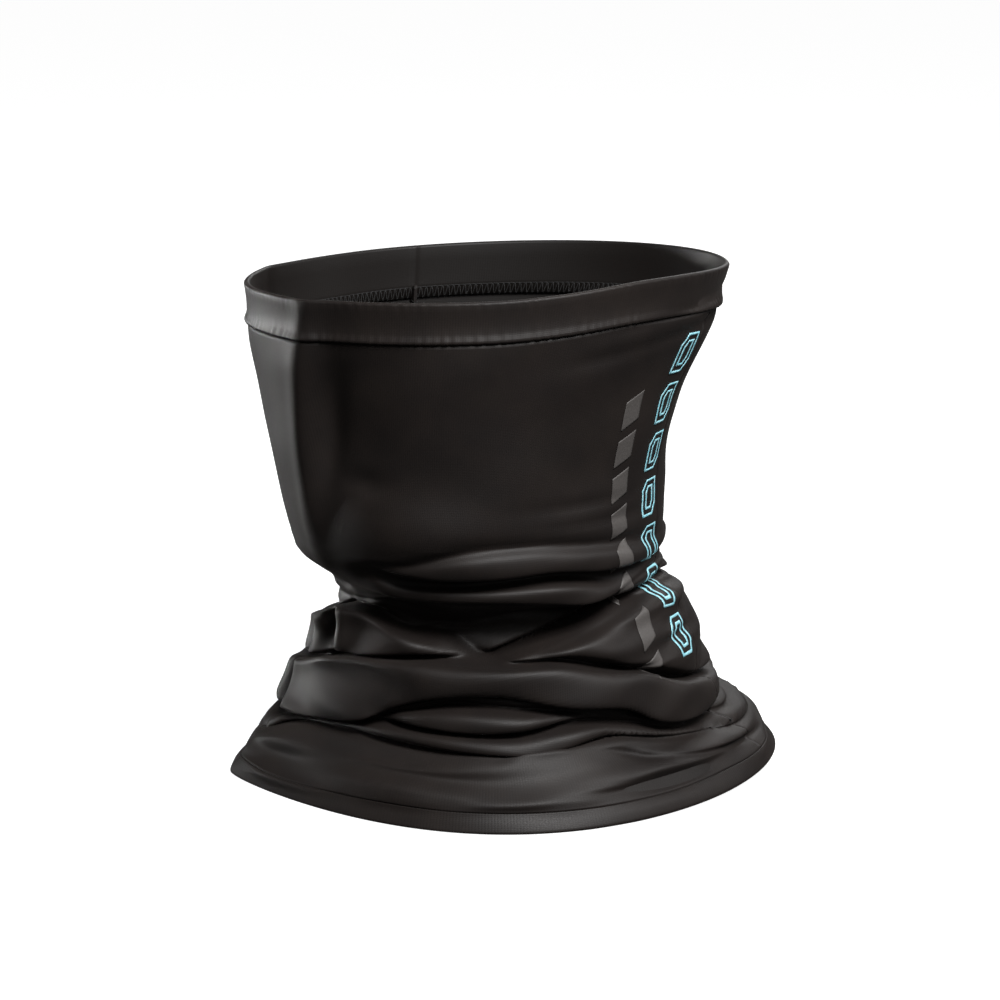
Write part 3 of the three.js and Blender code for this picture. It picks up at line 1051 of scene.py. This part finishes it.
@dataclass(frozen=True)
class KnitFinish:
    """Brushed polyester and elastane interlock, piece-dyed black.

    It gives the eye a soft satin: broad dull highlights, a faint pale bloom at grazing angles, and fine
    upright wales that show only close up.
    """

    name: str
    color: str
    # The lighter colour: for the random tone and, as painted light, for the tops of the loops.
    worn_and_painted_loop_light_color: str
    # The reverse side is the knit's matt back; its darker colour is painted shade inside the tube.
    reverse_shade_color: str = "#120e0c"
    bloom_color: str = "#8d8782"
    roughness: float = 0.55
    sheen: float = 0.06
    wale: float = 0.9  # real wales are 0.6 mm apart, and are drawn a little coarser to show at all
    course: float = 0.7
    relief: float = 0.035

    def build(self) -> bpy.types.Material:
        """Make the material: flecked dye, painted lighter on the loops' tops and darker between the wales as
        painted light and shade, a duller reverse side painted darker as shade inside the tube, uneven
        roughness and raised loops.

        Returns:
            The material.
        """
        material, tree = empty_material(self.name)
        uv = flat_place(tree)
        place = add_node(tree, "ShaderNodeSeparateXYZ", i0=uv)
        height = self._loops(tree, place.outputs[0], place.outputs[1])
        here = add_node(tree, "ShaderNodeTexCoord").outputs["Object"]
        fibres = noise(tree, uv, 1600.0, 2.0, 0.7)
        tone = map_range(tree, noise(tree, here, 38.0, 3.0, 0.55), 0.35, 0.7, 0.0, 0.55)
        # Painted light and shade: the loops' height lightens their tops and darkens the gaps between wales,
        # over a random tone.
        fleck_and_painted_loop_light = math_node(tree, "MULTIPLY_ADD", height, 0.25, tone)
        dye = mix_colors(tree, fleck_and_painted_loop_light, linear(self.color), linear(self.worn_and_painted_loop_light_color))
        # The reverse side's darker colour is painted shade inside the tube.
        side = add_node(tree, "ShaderNodeAttribute", {"attribute_name": "reverse_side_shade"}).outputs["Fac"]
        fuzz = math_node(tree, "MULTIPLY_ADD", fibres, 0.35, height)
        shade(
            tree,
            Base_Color=mix_colors(tree, side, dye, linear(self.reverse_shade_color)),
            Roughness=map_range(tree, fibres, 0.2, 0.8, self.roughness - 0.06, self.roughness + 0.08),
            Normal=bump(tree, fuzz, 0.5, self.relief),
            IOR=1.5,
            Specular_IOR_Level=0.3,
            Sheen_Weight=self.sheen,
            Sheen_Roughness=0.45,
            Sheen_Tint=linear(self.bloom_color),
        )
        return material

    def _loops(self, tree: bpy.types.NodeTree, across: object, along: object) -> bpy.types.NodeSocket:
        """Work out the knit's height: rounded wales, each crossed by loops that lean up to its middle.

        The wale is the absolute sine of the place across. The loops are a sine of the place along, shifted
        by the wale's height, so that they draw a row of small V shapes.

        Args:
            tree: The node tree.
            across: The place across the cloth.
            along: The place along the cloth.

        Returns:
            The height.
        """
        turn = math_node(tree, "MULTIPLY", across, math.pi / (self.wale * METRE))
        wale = math_node(tree, "ABSOLUTE", math_node(tree, "SINE", turn))
        rows = math_node(tree, "MULTIPLY", along, 2.0 * math.pi / (self.course * METRE))
        leaning = math_node(tree, "ADD", rows, math_node(tree, "MULTIPLY", wale, 2.4))
        loop = math_node(tree, "MULTIPLY", math_node(tree, "SINE", leaning), 0.35)
        return math_node(tree, "ADD", wale, loop)


@dataclass(frozen=True)
class ThreadFinish:
    """Textured polyester overlock thread, dyed black: matt, slightly hairy and darker than the cloth."""

    name: str = "textured_polyester_thread"
    dark_color: str = "#070606"
    color: str = "#0c0b0b"
    twist: float = 0.45

    def build(self) -> bpy.types.Material:
        """Make the material: uneven dye and the bump of the thread's hairs.

        Returns:
            The material.
        """
        material, tree = empty_material(self.name)
        here = add_node(tree, "ShaderNodeTexCoord").outputs["Object"]
        hair = noise(tree, here, 1.0 / (self.twist * METRE), 2.0, 0.6)
        shade(
            tree,
            Base_Color=mix_colors(tree, hair, linear(self.dark_color), linear(self.color)),
            Normal=bump(tree, hair, 0.6, 0.05),
            Roughness=0.66,
            Sheen_Weight=0.08,
            Sheen_Roughness=0.5,
        )
        return material


@dataclass(frozen=True)
class FilmFinish:
    """Stretch heat-transfer film: thin even polyurethane that takes a little of the knit's texture."""

    name: str
    color: str
    edge_color: str
    roughness: float

    def build(self) -> bpy.types.Material:
        """Make the material: slightly patchy ink over a fine grain.

        Returns:
            The material.
        """
        material, tree = empty_material(self.name)
        grain = noise(tree, flat_place(tree), 900.0, 3.0, 0.6)
        patchy = map_range(tree, grain, 0.3, 0.75, 0.0, 1.0)
        shade(
            tree,
            Base_Color=mix_colors(tree, patchy, linear(self.color), linear(self.edge_color)),
            Normal=bump(tree, grain, 0.4, 0.03),
            Roughness=self.roughness,
        )
        return material


class Slot(Enum):
    """The record's material slots."""

    KNIT = "black_knit"
    BAND = "band_knit"
    THREAD = "black_thread"
    CYAN = "cyan_film"
    GREY = "grey_film"


FINISHES = {
    Slot.KNIT: KnitFinish("satin_interlock_knit", "#171312", "#241e1b"),
    Slot.BAND: KnitFinish("folded_band_knit", "#181413", "#26201d", roughness=0.52, sheen=0.08),
    Slot.THREAD: ThreadFinish(),
    Slot.CYAN: FilmFinish("cyan_transfer_film", "#c4eff7", "#3fb0c4", 0.42),
    Slot.GREY: FilmFinish("grey_transfer_film", "#54504e", "#474442", 0.5),
}


class Wardrobe:
    """Makes each finish once and dresses pieces in it."""

    def __init__(self) -> None:
        """Build every finish."""
        self.materials = {slot: finish.build() for slot, finish in FINISHES.items()}

    def dress(self, piece: bpy.types.Object, slot: Slot, *nodes: str) -> bpy.types.Object:
        """Give a piece its finish, its body and the CAD nodes it stands for, and report it.

        Args:
            piece: The piece.
            slot: The record's slot it takes its finish from.
            *nodes: The CAD nodes it stands for.

        Returns:
            The same piece.
        """
        piece.data.materials.append(self.materials[slot])
        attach(piece, BODY)
        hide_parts(*nodes)
        LOG.info("%s: %d faces, %s", piece.name, len(piece.data.polygons), slot.value)
        return piece


# ---- the gaiter's pieces ----


@dataclass(frozen=True)
class Making:
    """Sizes that neighbouring pieces share."""

    cloth: float = 0.6
    seam_gap: float = 0.3
    hem_gap: float = 0.03
    side_seam: float = -80.0
    back_seam: float = 152.0
    top_seam: float = 200.5
    bottom_seam: float = 7.5
    top: float = 218.0
    band_allowance: float = 6.0
    thread: float = 0.19  # radius of overlock thread
    banded: float = 28.0  # how much of the cloth's length the two bands take
    fold_room: float = 0.35  # between the panels and a band's leg behind them
    bunched_share: float = 0.35  # how far a seam's edges stand in where the cloth is bunched

    @property
    def behind(self) -> float:
        """The depth of the near face of a band's leg behind the panels."""
        return -2.0 * self.cloth - self.fold_room

    def turned_in(self, heights: Array, depth: Array) -> Array:
        """Return how deep a seam's turned-in edge reaches: less where the cloth is bunched."""
        flattened = self.bunched_share + 0.65 * smooth_step((heights - 104.0) / 18.0)
        return np.where(depth < -self.cloth, -self.cloth + (depth + self.cloth) * flattened, depth)


@dataclass(frozen=True)
class Panel:
    """A cloth panel between two seams, with its side edges turned in behind them."""

    node: str
    start: float
    end: float
    columns: int
    making: Making = field(default_factory=Making)
    allowance: float = 5.0
    least_row: float = 0.3

    def _layers(self) -> tuple[Array, Array]:
        """Work out the columns of both layers.

        Each edge goes down its seam allowance, where it touches its neighbour's, round a small bend and out
        onto the panel's face.

        Returns:
            The outer and the inner layer's columns as angle, arc and depth.
        """
        cloth = self.making.cloth
        half = self.making.seam_gap / 2.0
        deep = self.allowance
        bend = [(-half, -deep), (-half, -3.4), (-half, -1.7), (0.05, -0.8), (0.3, -0.28), (0.9, -0.04)]
        inside = [(cloth, -deep), (cloth, -3.4), (cloth, -1.9), (0.68, -1.3), (0.85, -0.95), (1.2, -0.68)]
        face = np.linspace(self.start, self.end, self.columns + 1)[1:-1]

        def layer(edge: Array, depth: float) -> Array:
            """Lay a layer's columns from one edge over the face to the other edge.

            Args:
                edge: Arc and depth points of an edge.
                depth: The face's depth.

            Returns:
                The columns as angle, arc and depth.
            """
            first = np.column_stack([np.full(len(edge), self.start), half + edge[:, 0], edge[:, 1]])
            last = np.column_stack([np.full(len(edge), self.end), -half - edge[:, 0], edge[:, 1]])[::-1]
            middle = np.column_stack([face, np.zeros(len(face)), np.full(len(face), depth)])
            return np.concatenate([first, middle, last])

        return layer(np.array(bend), 0.0), layer(np.array(inside), -cloth)

    def build(self, surface: ClothSurface) -> bpy.types.Object:
        """Build the panel as two layers joined at their edges.

        Args:
            surface: The finished cloth.

        Returns:
            The object.
        """
        making = self.making
        low, high = making.bottom_seam + making.hem_gap, making.top_seam - making.seam_gap
        rows = surface.heights
        clear = (rows > low + self.least_row) & (rows < high - self.least_row)
        heights = np.concatenate([[low], rows[clear], [high]])[:, None]
        outer, inner = self._layers()
        points, flat = [], []
        for layer in (outer, inner):
            depth = making.turned_in(heights, layer[None, :, 2])
            points.append(surface.at(layer[None, :, 0], heights, depth, layer[None, :, 1]))
            flat.append(surface.flat(layer[None, :, 0], heights))
        count = len(heights) * len(outer)
        return make_object(
            f"{self.node}_cloth",
            np.concatenate([p.reshape(-1, 3) for p in points]),
            shell_quads(len(heights), len(outer)),
            np.concatenate([f.reshape(-1, 2) for f in flat]),
            # The inner layer is the reverse side, drawn darker as painted shade inside the tube.
            np.repeat([0.0, 1.0], count),
        )


@dataclass(frozen=True)
class Band:
    """A strip folded double round an opening: folded at the rim, and with a ridge where it is sewn on."""

    node: str
    seam: float
    opening: float
    ridge: float
    roll: float
    making: Making = field(default_factory=Making)
    columns: int = 560
    pucker: Ripple = Ripple(0.1, 21, (90, 190), (40.0, 90.0))
    join_width: float = 0.55  # of the strip's own join, in degrees

    def _section(self) -> Array:
        """Work out the closed section, from the seam over the fold and back inside.

        Near the seam the face follows the ridge, and further on the roll of the fold. The fold is half a
        circle.

        Returns:
            Height and depth points.
        """
        cloth, behind, seam = self.making.cloth, self.making.behind, self.seam
        span = self.opening - seam
        away = math.copysign(1.0, span)
        near = away * min(1.0, abs(span) / 12.0)
        radius = (self.roll - (behind - cloth)) / 2.0
        middle = (self.roll + behind - cloth) / 2.0
        ridge = ((0.1, 0.35), (0.5, 0.85), (1.2, 1.0), (2.0, 0.8), (3.2, 0.3), (4.6, 0.02))
        rolled = ((0.45, -0.35), (0.62, -0.15), (0.78, 0.5))
        face = [(seam + near * along, self.ridge * out) for along, out in ridge]
        face += [(seam + span * along, self.roll * out) for along, out in rolled]
        curl = [
            (self.opening - away * radius * (1.0 - math.sin(a)), middle + radius * math.cos(a))
            for a in np.radians(np.linspace(0.0, 180.0, 9))
        ]
        sewn_edge = seam - away * self.making.band_allowance
        in_fold = self.opening - away * (radius + 0.3)
        inside = [
            (seam + span * 0.6, behind - cloth),
            (seam + span * 0.3, behind - cloth),
            (seam, behind - cloth),
            (sewn_edge, behind - cloth),
            (sewn_edge, behind),
            (seam, behind),
            (seam + span * 0.5, behind),
            (in_fold, behind + 0.1),
            (in_fold, -cloth),
            (seam + span * 0.5, -cloth),
            (seam + away * 0.1, -cloth),
        ]
        return np.array(face + curl + inside)

    def build(self, surface: ClothSurface) -> bpy.types.Object:
        """Build the band: its section carried round, puckered along its ridge and drawn in at its join.

        The join is a bell curve round the side seam, shallow on the face and deeper inside.

        Args:
            surface: The finished cloth.

        Returns:
            The object.
        """
        section = self._section()
        angles = np.arange(self.columns)[:, None] * 360.0 / self.columns
        heights = np.broadcast_to(section[None, :, 0], (self.columns, len(section)))
        depth = section[None, :, 1]
        pucker = self.pucker.offset(depth > 0.2, angles, heights)
        turn = half_turn(angles - self.making.side_seam)
        join = np.exp(-((turn / self.join_width) ** 2)) * (0.3 * (depth > -0.5) + 0.7 * (depth < -1.6))
        points = surface.at(angles, heights, depth + pucker - join)
        points[..., 2] = np.maximum(points[..., 2], 0.0)
        quads = grid_quads(self.columns, len(section), wraps_rows=True, wraps_columns=True)
        # The band's inner layers are the reverse side, drawn darker as painted shade inside the tube.
        reverse = np.broadcast_to(smooth_step((-1.2 - depth) / 0.6), heights.shape)
        return make_object(
            f"{self.node}_cloth",
            points.reshape(-1, 3),
            quads[:, ::-1] if self.opening > self.seam else quads,
            surface.flat(angles, heights).reshape(-1, 2),
            reverse.ravel(),
        )


STITCH_STEPS = 10  # points in one stitch


def stitch_swing(phase: Array) -> Array:
    """Return a looper's place in each stitch, there and back: 0 at the needle line, 1 at the edge."""
    return np.abs(2.0 * ((phase + 0.5) % 1.0) - 1.0)


@dataclass(frozen=True)
class BandOverlock:
    """The overlock stitches round a band's sewn edge: a looper on each side and a row of needle stitches."""

    node: str
    seam: float
    inwards: float
    pitch: float = 2.3
    needle: float = 1.4  # how far the needle line is from the seam
    dip: float = 0.25
    making: Making = field(default_factory=Making)

    def build(self, surface: ClothSurface) -> bpy.types.Object:
        """Build the stitches as one object.

        Each looper zigzags once a stitch between the needle line and the cloth's edge, and turns a little
        round the edge. The needle thread dips into the cloth once a stitch, as the size of a sine.

        Args:
            surface: The finished cloth.

        Returns:
            The object.
        """
        making = self.making
        girth = float(surface.girth_step[-1 if self.inwards < 0 else 0].mean()) * 360.0
        steps = np.arange(int(girth / self.pitch) * STITCH_STEPS)
        angles = steps * 360.0 / len(steps)
        phase = steps / STITCH_STEPS
        swing = stitch_swing(phase)
        inner_face = making.behind - making.cloth - making.thread
        outer_face = making.behind + making.thread
        edge = self.seam + self.inwards * (making.band_allowance + making.thread)
        needle = self.seam + self.inwards * self.needle
        heights = needle + (edge - needle) * smooth_step(swing)
        wrap = smooth_step((swing - 0.8) / 0.2) * 0.5
        dip = self.dip - self.dip * np.abs(np.sin(math.pi * phase))
        lines = [
            surface.at(angles, heights, inner_face + (outer_face - inner_face) * wrap),
            surface.at(angles, heights, outer_face + (inner_face - outer_face) * wrap),
            surface.at(angles, np.full(len(angles), needle), inner_face + dip),
        ]
        points, quads = joined([tube(line, making.thread, 5, closed=True) for line in lines])
        return make_object(f"{self.node}_stitches", points, quads)


@dataclass(frozen=True)
class SeamOverlock:
    """The overlock stitches down a vertical seam's two turned-in edges."""

    node: str
    angle: float
    pitch: float = 2.6
    allowance: float = 5.0
    needle: float = 2.2  # how deep the needle line is
    making: Making = field(default_factory=Making)

    def build(self, surface: ClothSurface) -> bpy.types.Object:
        """Build the stitches as one object, with a looper on each side of the edges.

        The loopers zigzag once a stitch between the needle line and the edges, evenly along the cloth's
        folds, and close in round the edges.

        Args:
            surface: The finished cloth.

        Returns:
            The object.
        """
        making = self.making
        clear = making.band_allowance + 1.0
        ends = (making.bottom_seam + clear, making.top_seam - clear)
        low, high = np.interp(ends, surface.heights, surface.flat_rows)
        along = np.linspace(0.0, 1.0, int((high - low) / self.pitch) * STITCH_STEPS)
        heights = np.interp(low + along * (high - low), surface.flat_rows, surface.heights)
        swing = stitch_swing(np.arange(len(along)) / STITCH_STEPS)
        side = making.seam_gap / 2.0 + making.cloth + making.thread
        reach = self.allowance + making.thread - self.needle
        depth = making.turned_in(heights, -self.needle - reach * smooth_step(swing))
        wrap = 1.0 - smooth_step((swing - 0.8) / 0.2) * 0.8
        angles = np.full(len(along), self.angle)
        lines = [surface.at(angles, heights, depth, sign * side * wrap) for sign in (1.0, -1.0)]
        points, quads = joined([tube(line, making.thread, 5) for line in lines])
        return make_object(f"{self.node}_stitches", points, quads)


@dataclass(frozen=True)
class Figure:
    """One figure of a printed column: where its column stands and how much of its pitch it fills."""

    index: int
    kind: str
    count: int
    angle: float
    low: float
    high: float
    width: float
    share: float
    lift: float = 0.14
    film: float = 0.12

    @property
    def node(self) -> str:
        """The CAD node this figure stands for."""
        return f"print_{self.kind}_{self.index + 1}"

    @property
    def pitch(self) -> float:
        """The height from one figure to the next."""
        return (self.high - self.low) / self.count


@dataclass(frozen=True)
class OutlineFigure(Figure):
    """A tall six-sided figure in outline, with a smaller one inside it."""

    kind: str = "outline"
    count: int = 7
    angle: float = 145.0
    low: float = 52.0
    high: float = 194.0
    width: float = 12.0
    share: float = 0.8
    stroke: float = 1.1
    inset: float = 0.24

    def _path(self, shrink: float) -> Array:
        """Work out the closed outline, shrunk towards its middle, in even steps between its corners.

        Args:
            shrink: How far each side moves in.

        Returns:
            Arc and height from the middle.
        """
        half_size = (self.width / 2.0 - shrink, self.pitch * self.share / 2.0 - shrink)
        corners = [(-1.0, -1.0), (0.4, -1.0), (1.0, -0.45), (1.0, 1.0), (-0.4, 1.0), (-1.0, 0.45)]
        corners = np.array(corners) * half_size
        ahead = np.roll(corners, -1, axis=0)
        steps = np.linspace(0.0, 1.0, 14, endpoint=False)[None, :, None]
        return (corners[:, None] * (1.0 - steps) + ahead[:, None] * steps).reshape(-1, 2)

    def build(self, surface: ClothSurface) -> bpy.types.Object:
        """Build the figure: an outer and an inner closed stroke.

        Args:
            surface: The finished cloth.

        Returns:
            The object.
        """
        middle = self.low + (self.index + 0.5) * self.pitch
        parts, flat = [], []
        for shrink in (0.0, self.width * self.inset):
            outer, inner = self._path(shrink), self._path(shrink + self.stroke)
            places = np.stack([outer, outer, inner, inner], 1)
            depth = np.array([0.0, self.film, self.film, 0.0])[None, :] + self.lift
            heights = middle + places[..., 1]
            points = surface.at(self.angle, heights, depth, places[..., 0]).reshape(-1, 3)
            parts.append((points, grid_quads(len(places), 4, wraps_rows=True, wraps_columns=True)[:, ::-1]))
            flat.append((surface.flat(self.angle, heights) + places * (1.0, 0.0)).reshape(-1, 2))
        return make_object(f"{self.node}_film", *joined(parts), np.concatenate(flat))


@dataclass(frozen=True)
class BlockFigure(Figure):
    """A slanted solid bar."""

    kind: str = "block"
    count: int = 8
    angle: float = 128.0
    low: float = 48.0
    high: float = 174.0
    width: float = 9.0
    share: float = 0.72
    slant: float = 4.0

    def build(self, surface: ClothSurface) -> bpy.types.Object:
        """Build the bar as two layers joined at their edges.

        Args:
            surface: The finished cloth.

        Returns:
            The object.
        """
        across = np.linspace(-0.5, 0.5, 12)[None, :]
        up = np.linspace(0.0, 1.0, 16)[:, None]
        heights = self.low + self.index * self.pitch + up * self.pitch * self.share + across * self.slant
        arcs = np.broadcast_to(across * self.width, heights.shape)
        depths = (self.lift + self.film, self.lift)
        points = [surface.at(self.angle, heights, depth, arcs).reshape(-1, 3) for depth in depths]
        flat = surface.flat(self.angle, heights)
        flat = np.stack([flat[..., 0] + arcs, flat[..., 1]], -1).reshape(-1, 2)
        quads = shell_quads(*heights.shape)
        return make_object(f"{self.node}_film", np.concatenate(points), quads, np.concatenate([flat, flat]))


class Gaiter:
    """The whole gaiter: builds every piece on one cloth surface and dresses it."""

    def __init__(self, wardrobe: Wardrobe, cloth: DrapedCloth) -> None:
        """Keep the finishes and work out the cloth surface.

        Args:
            wardrobe: The finishes.
            cloth: What makes the cloth surface.
        """
        self.wardrobe = wardrobe
        self.surface = cloth.surface()
        self.making = Making()
        LOG.info("cloth: %.0f mm from rim to rim along its folds", self.surface.flat_length)

    def build(self) -> None:
        """Build and dress every piece."""
        making = self.making
        dress = self.wardrobe.dress
        panels = (
            Panel("front_panel", making.side_seam, making.back_seam, 200),
            Panel("rear_panel", making.back_seam, making.side_seam + 360.0, 112),
        )
        for panel in panels:
            piece = dress(panel.build(self.surface), Slot.KNIT, panel.node)
        bands = (
            Band("top_band", making.top_seam, making.top, ridge=1.25, roll=0.35),
            Band("bottom_band", making.bottom_seam, 0.0, ridge=0.06, roll=0.0),
        )
        for band in bands:
            piece = dress(band.build(self.surface), Slot.BAND, band.node)
        stitches = (
            BandOverlock("top_overlock", making.top_seam, -1.0),
            BandOverlock("bottom_overlock", making.bottom_seam, 1.0),
            SeamOverlock("side_seam_thread", making.side_seam),
            SeamOverlock("back_seam_thread", making.back_seam),
        )
        for stitch in stitches:
            dress(stitch.build(self.surface), Slot.THREAD, stitch.node)
        for figures, slot in ((OutlineFigure, Slot.CYAN), (BlockFigure, Slot.GREY)):
            for index in range(figures.count):
                figure = figures(index)
                dress(figure.build(self.surface), slot, figure.node)


# ---- the studio ----


@dataclass(frozen=True)
class Softbox:
    """A square area light aimed at a height on the gaiter's axis, with a beam as wide as its grid allows."""

    name: str
    place: tuple[float, float, float]
    size: float
    power: float
    aim_height: float = 0.116
    beam: float = 180.0

    def build(self) -> None:
        """Add the light."""
        target = np.array([0.0, 0.0, self.aim_height])
        light = bpy.data.lights.new(self.name, "AREA")
        light.shape = "SQUARE"
        light.size = self.size
        light.energy = self.power
        light.spread = math.radians(self.beam)
        made = bpy.data.objects.new(self.name, light)
        made.location = self.place
        made.rotation_euler = aim(np.array(self.place), target)
        bpy.context.scene.collection.objects.link(made)


def aim(place: Array, target: Array, roll: float = 0.0) -> Euler:
    """Work out the rotation that looks from a place to a target.

    Args:
        place: Where it stands.
        target: What it looks at.
        roll: The turn about that line, in radians.

    Returns:
        The rotation.
    """
    look = Vector(target - place).to_track_quat("-Z", "Y").to_matrix()
    return (look @ Matrix.Rotation(roll, 3, "Z")).to_euler()


@dataclass(frozen=True)
class Studio:
    """A plain white floor and surround, soft light from the left and from above, and the camera."""

    azimuth: float = 76.85  # from the wearer's front towards the left
    distance: float = 1.2
    camera_height: float = 0.423
    target_height: float = 0.116
    lens: float = 102.2
    roll: float = 0.005
    shift: float = -0.0051
    fill: float = 0.04
    floor_size: float = 12000.0
    floor_gap: float = 0.4
    floor_glow: float = 0.95
    boxes: tuple[Softbox, ...] = (
        Softbox("left_softbox", (-0.75, -0.95, 0.2), 0.3, 0.27, aim_height=0.19, beam=8.5),
        Softbox("low_left_softbox", (-0.6, -1.2, 0.5), 0.5, 1.1),
        Softbox("top_softbox", (0.88, 0.25, 1.15), 0.5, 26.0),
        Softbox("front_softbox", (1.5, 0.35, 0.9), 1.0, 2.5),
        Softbox("right_softbox", (0.2, 1.4, 0.9), 0.7, 4.0),
        Softbox("back_softbox", (-1.1, 0.7, 0.9), 0.8, 7.0),
    )

    def build(self) -> None:
        """Build the floor, the surround, the lights and the camera."""
        scene = bpy.context.scene
        scene.view_settings.view_transform = "Standard"
        target = np.array([0.0, 0.0, self.target_height])
        for box in self.boxes:
            box.build()
        world = bpy.data.worlds.new("white_surround")
        world.use_nodes = True
        tree = world.node_tree
        tree.nodes.clear()
        seen = add_node(tree, "ShaderNodeBackground", Color=linear("#ffffff"), Strength=1.0)
        fill = add_node(tree, "ShaderNodeBackground", Color=linear("#ffffff"), Strength=self.fill)
        ray = add_node(tree, "ShaderNodeLightPath").outputs["Is Camera Ray"]
        mixed = add_node(tree, "ShaderNodeMixShader", i0=ray, i1=fill.outputs[0], i2=seen.outputs[0])
        add_node(tree, "ShaderNodeOutputWorld", Surface=mixed.outputs[0])
        scene.world = world
        self._floor()
        camera = bpy.data.cameras.new("camera")
        camera.lens = self.lens
        camera.sensor_width = 36.0
        camera.shift_x = self.shift
        made = bpy.data.objects.new("camera", camera)
        turn = math.radians(self.azimuth)
        across, behind = math.sin(turn) * self.distance, -math.cos(turn) * self.distance
        place = np.array([across, behind, self.camera_height])
        made.location = place
        made.rotation_euler = aim(place, target, self.roll)
        scene.collection.objects.link(made)
        scene.camera = made

    def _floor(self) -> None:
        """Build the floor just below the rim."""
        half, below = self.floor_size / 2.0, -self.floor_gap
        corners = [(-half, -half, below), (half, -half, below), (half, half, below), (-half, half, below)]
        corners = np.array(corners)
        floor = make_object("floor", corners, np.array([[0, 1, 2, 3]]))
        material, tree = empty_material("pale_floor")
        shade(
            tree,
            Base_Color=linear("#bcbcbc"),
            Roughness=0.9,
            Emission_Color=linear("#ffffff"),
            Emission_Strength=self.floor_glow,
        )
        floor.data.materials.append(material)
        floor.visible_diffuse = False
        floor.visible_glossy = False


def main() -> None:
    """Build the studio and the gaiter."""
    logging.basicConfig(level=logging.INFO, format="%(name)s: %(message)s")
    Studio().build()
    Gaiter(Wardrobe(), DrapedCloth()).build()


if __name__ == "__main__":
    main()
